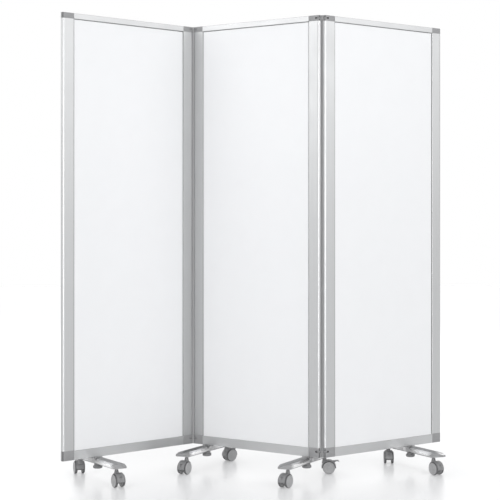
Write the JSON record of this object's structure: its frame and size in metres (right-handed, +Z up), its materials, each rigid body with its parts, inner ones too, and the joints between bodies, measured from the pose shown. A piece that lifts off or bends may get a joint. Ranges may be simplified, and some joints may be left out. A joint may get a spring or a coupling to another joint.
{
  "type": "rolling whiteboard",
  "caption": "Folding whiteboard partition on casters, with hinged double-sided writing panels in rounded aluminium frames.",
  "frame": {"origin": "on the floor under the middle of the middle panel", "axes": "+X along the middle panel, to the right as seen from the front; +Y towards the back; +Z up"},
  "size_m": [1.3487, 1.1429, 1.829],
  "materials": {
    "enamel": "gloss white enamel",
    "core": "honeycomb board",
    "aluminium": "satin anodised",
    "cap": "moulded grey",
    "strip": "matt dark grey",
    "steel": "plain",
    "foot_metal": "satin silver casting",
    "knob": "moulded grey",
    "caster_hood": "moulded grey",
    "caster_wheel": "moulded grey"
  },
  "bodies": {
    "middle_panel": {"middle_panel_core": "core", "middle_panel_front_sheet": "enamel", "middle_panel_back_sheet": "enamel", "middle_panel_left_stile": "aluminium", "middle_panel_right_stile": "aluminium", "middle_panel_top_rail": "aluminium", "middle_panel_bottom_rail": "aluminium", "middle_panel_corner_caps": "cap", "middle_left_foot": "foot_metal", "middle_right_foot": "foot_metal", "middle_panel_foot_knobs": "knob", "middle_panel_caster_stems": "steel"},
    "left_panel": {"left_panel_core": "core", "left_panel_front_sheet": "enamel", "left_panel_back_sheet": "enamel", "left_panel_left_stile": "aluminium", "left_panel_right_stile": "aluminium", "left_panel_top_rail": "aluminium", "left_panel_bottom_rail": "aluminium", "left_panel_corner_caps": "cap", "left_foot": "foot_metal", "left_panel_foot_knobs": "knob", "left_panel_caster_stems": "steel"},
    "right_panel": {"right_panel_core": "core", "right_panel_front_sheet": "enamel", "right_panel_back_sheet": "enamel", "right_panel_left_stile": "aluminium", "right_panel_right_stile": "aluminium", "right_panel_top_rail": "aluminium", "right_panel_bottom_rail": "aluminium", "right_panel_corner_caps": "cap", "right_foot": "foot_metal", "right_panel_foot_knobs": "knob", "right_panel_caster_stems": "steel"},
    "left_link": {"left_hinge_links": "cap", "left_hinge_pins": "steel", "left_hinge_strip": "strip"},
    "right_link": {"right_hinge_links": "cap", "right_hinge_pins": "steel", "right_hinge_strip": "strip"},
    "left_front_caster": {"left_front_caster_hood": "caster_hood"},
    "left_front_caster_wheel_pair": {"left_front_caster_wheels": "caster_wheel"},
    "left_rear_caster": {"left_rear_caster_hood": "caster_hood"},
    "left_rear_caster_wheel_pair": {"left_rear_caster_wheels": "caster_wheel"},
    "middle_left_front_caster": {"middle_left_front_caster_hood": "caster_hood"},
    "middle_left_front_caster_wheel_pair": {"middle_left_front_caster_wheels": "caster_wheel"},
    "middle_left_rear_caster": {"middle_left_rear_caster_hood": "caster_hood"},
    "middle_left_rear_caster_wheel_pair": {"middle_left_rear_caster_wheels": "caster_wheel"},
    "middle_left_rear_brake": {"middle_left_rear_brake_lever": "caster_hood"},
    "middle_right_front_caster": {"middle_right_front_caster_hood": "caster_hood"},
    "middle_right_front_caster_wheel_pair": {"middle_right_front_caster_wheels": "caster_wheel"},
    "middle_right_rear_caster": {"middle_right_rear_caster_hood": "caster_hood"},
    "middle_right_rear_caster_wheel_pair": {"middle_right_rear_caster_wheels": "caster_wheel"},
    "middle_right_rear_brake": {"middle_right_rear_brake_lever": "caster_hood"},
    "right_front_caster": {"right_front_caster_hood": "caster_hood"},
    "right_front_caster_wheel_pair": {"right_front_caster_wheels": "caster_wheel"},
    "right_rear_caster": {"right_rear_caster_hood": "caster_hood"},
    "right_rear_caster_wheel_pair": {"right_rear_caster_wheels": "caster_wheel"}
  },
  "joints": [
    {"name": "left_link_turn", "type": "hinge", "parent": "middle_panel", "child": "left_link", "pos_m": [-0.2945, 0, 0.9], "axis": [0, 0, 1], "range_deg": [-125.05, 54.95]},
    {"name": "left_panel_fold", "type": "hinge", "parent": "left_link", "child": "left_panel", "pos_m": [-0.31578, -0.01493, 0.9], "axis": [0, 0, 1], "range_deg": [-125.05, 54.95]},
    {"name": "right_link_turn", "type": "hinge", "parent": "middle_panel", "child": "right_link", "pos_m": [0.2945, 0, 0.9], "axis": [0, 0, 1], "range_deg": [-123.1, 56.9]},
    {"name": "right_panel_fold", "type": "hinge", "parent": "right_link", "child": "right_panel", "pos_m": [0.31628, 0.0142, 0.9], "axis": [0, 0, 1], "range_deg": [-123.1, 56.9]},
    {"name": "left_front_caster_swivel", "type": "hinge", "parent": "left_panel", "child": "left_front_caster", "pos_m": [-0.33058, -0.47592, 0.05], "axis": [0, 0, 1], "continuous": true},
    {"name": "left_front_caster_roll", "type": "hinge", "parent": "left_front_caster", "child": "left_front_caster_wheel_pair", "pos_m": [-0.31557, -0.4839, 0.025], "axis": [0.4695, 0.8829, 0], "continuous": true},
    {"name": "left_rear_caster_swivel", "type": "hinge", "parent": "left_panel", "child": "left_rear_caster", "pos_m": [-0.5995, -0.37857, 0.05], "axis": [0, 0, 1], "continuous": true},
    {"name": "left_rear_caster_roll", "type": "hinge", "parent": "left_rear_caster", "child": "left_rear_caster_wheel_pair", "pos_m": [-0.61271, -0.36788, 0.025], "axis": [-0.6293, -0.7771, 0], "continuous": true},
    {"name": "middle_left_front_caster_swivel", "type": "hinge", "parent": "middle_panel", "child": "middle_left_front_caster", "pos_m": [-0.24, -0.143, 0.05], "axis": [0, 0, 1], "continuous": true},
    {"name": "middle_left_front_caster_roll", "type": "hinge", "parent": "middle_left_front_caster", "child": "middle_left_front_caster_wheel_pair", "pos_m": [-0.23881, -0.15996, 0.025], "axis": [0.9976, 0.0698, 0], "continuous": true},
    {"name": "middle_left_rear_caster_swivel", "type": "hinge", "parent": "middle_panel", "child": "middle_left_rear_caster", "pos_m": [-0.24, 0.143, 0.05], "axis": [0, 0, 1], "continuous": true},
    {"name": "middle_left_rear_caster_roll", "type": "hinge", "parent": "middle_left_rear_caster", "child": "middle_left_rear_caster_wheel_pair", "pos_m": [-0.23447, 0.15907, 0.025], "axis": [-0.9455, 0.3256, 0], "continuous": true},
    {"name": "middle_left_rear_brake_press", "type": "hinge", "parent": "middle_left_rear_caster", "child": "middle_left_rear_brake", "pos_m": [-0.23023, 0.17137, 0.04], "axis": [-0.9455, 0.3256, 0], "range_deg": [0, 18]},
    {"name": "middle_right_front_caster_swivel", "type": "hinge", "parent": "middle_panel", "child": "middle_right_front_caster", "pos_m": [0.24, -0.143, 0.05], "axis": [0, 0, 1], "continuous": true},
    {"name": "middle_right_front_caster_roll", "type": "hinge", "parent": "middle_right_front_caster", "child": "middle_right_front_caster_wheel_pair", "pos_m": [0.23941, -0.15999, 0.025], "axis": [0.9994, -0.0349, 0], "continuous": true},
    {"name": "middle_right_rear_caster_swivel", "type": "hinge", "parent": "middle_panel", "child": "middle_right_rear_caster", "pos_m": [0.24, 0.143, 0.05], "axis": [0, 0, 1], "continuous": true},
    {"name": "middle_right_rear_caster_roll", "type": "hinge", "parent": "middle_right_rear_caster", "child": "middle_right_rear_caster_wheel_pair", "pos_m": [0.25457, 0.15176, 0.025], "axis": [-0.515, 0.8572, 0], "continuous": true},
    {"name": "middle_right_rear_brake_press", "type": "hinge", "parent": "middle_right_rear_caster", "child": "middle_right_rear_brake", "pos_m": [0.26571, 0.15845, 0.04], "axis": [-0.515, 0.8572, 0], "range_deg": [0, 18]},
    {"name": "right_front_caster_swivel", "type": "hinge", "parent": "right_panel", "child": "right_front_caster", "pos_m": [0.62407, 0.3577, 0.05], "axis": [0, 0, 1], "continuous": true},
    {"name": "right_front_caster_roll", "type": "hinge", "parent": "right_front_caster", "child": "right_front_caster_wheel_pair", "pos_m": [0.63948, 0.35052, 0.025], "axis": [0.4226, 0.9063, 0], "continuous": true},
    {"name": "right_rear_caster_swivel", "type": "hinge", "parent": "right_panel", "child": "right_rear_caster", "pos_m": [0.3624, 0.47312, 0.05], "axis": [0, 0, 1], "continuous": true},
    {"name": "right_rear_caster_roll", "type": "hinge", "parent": "right_rear_caster", "child": "right_rear_caster_wheel_pair", "pos_m": [0.37115, 0.45854, 0.025], "axis": [0.8572, 0.515, 0], "continuous": true}
  ]
}
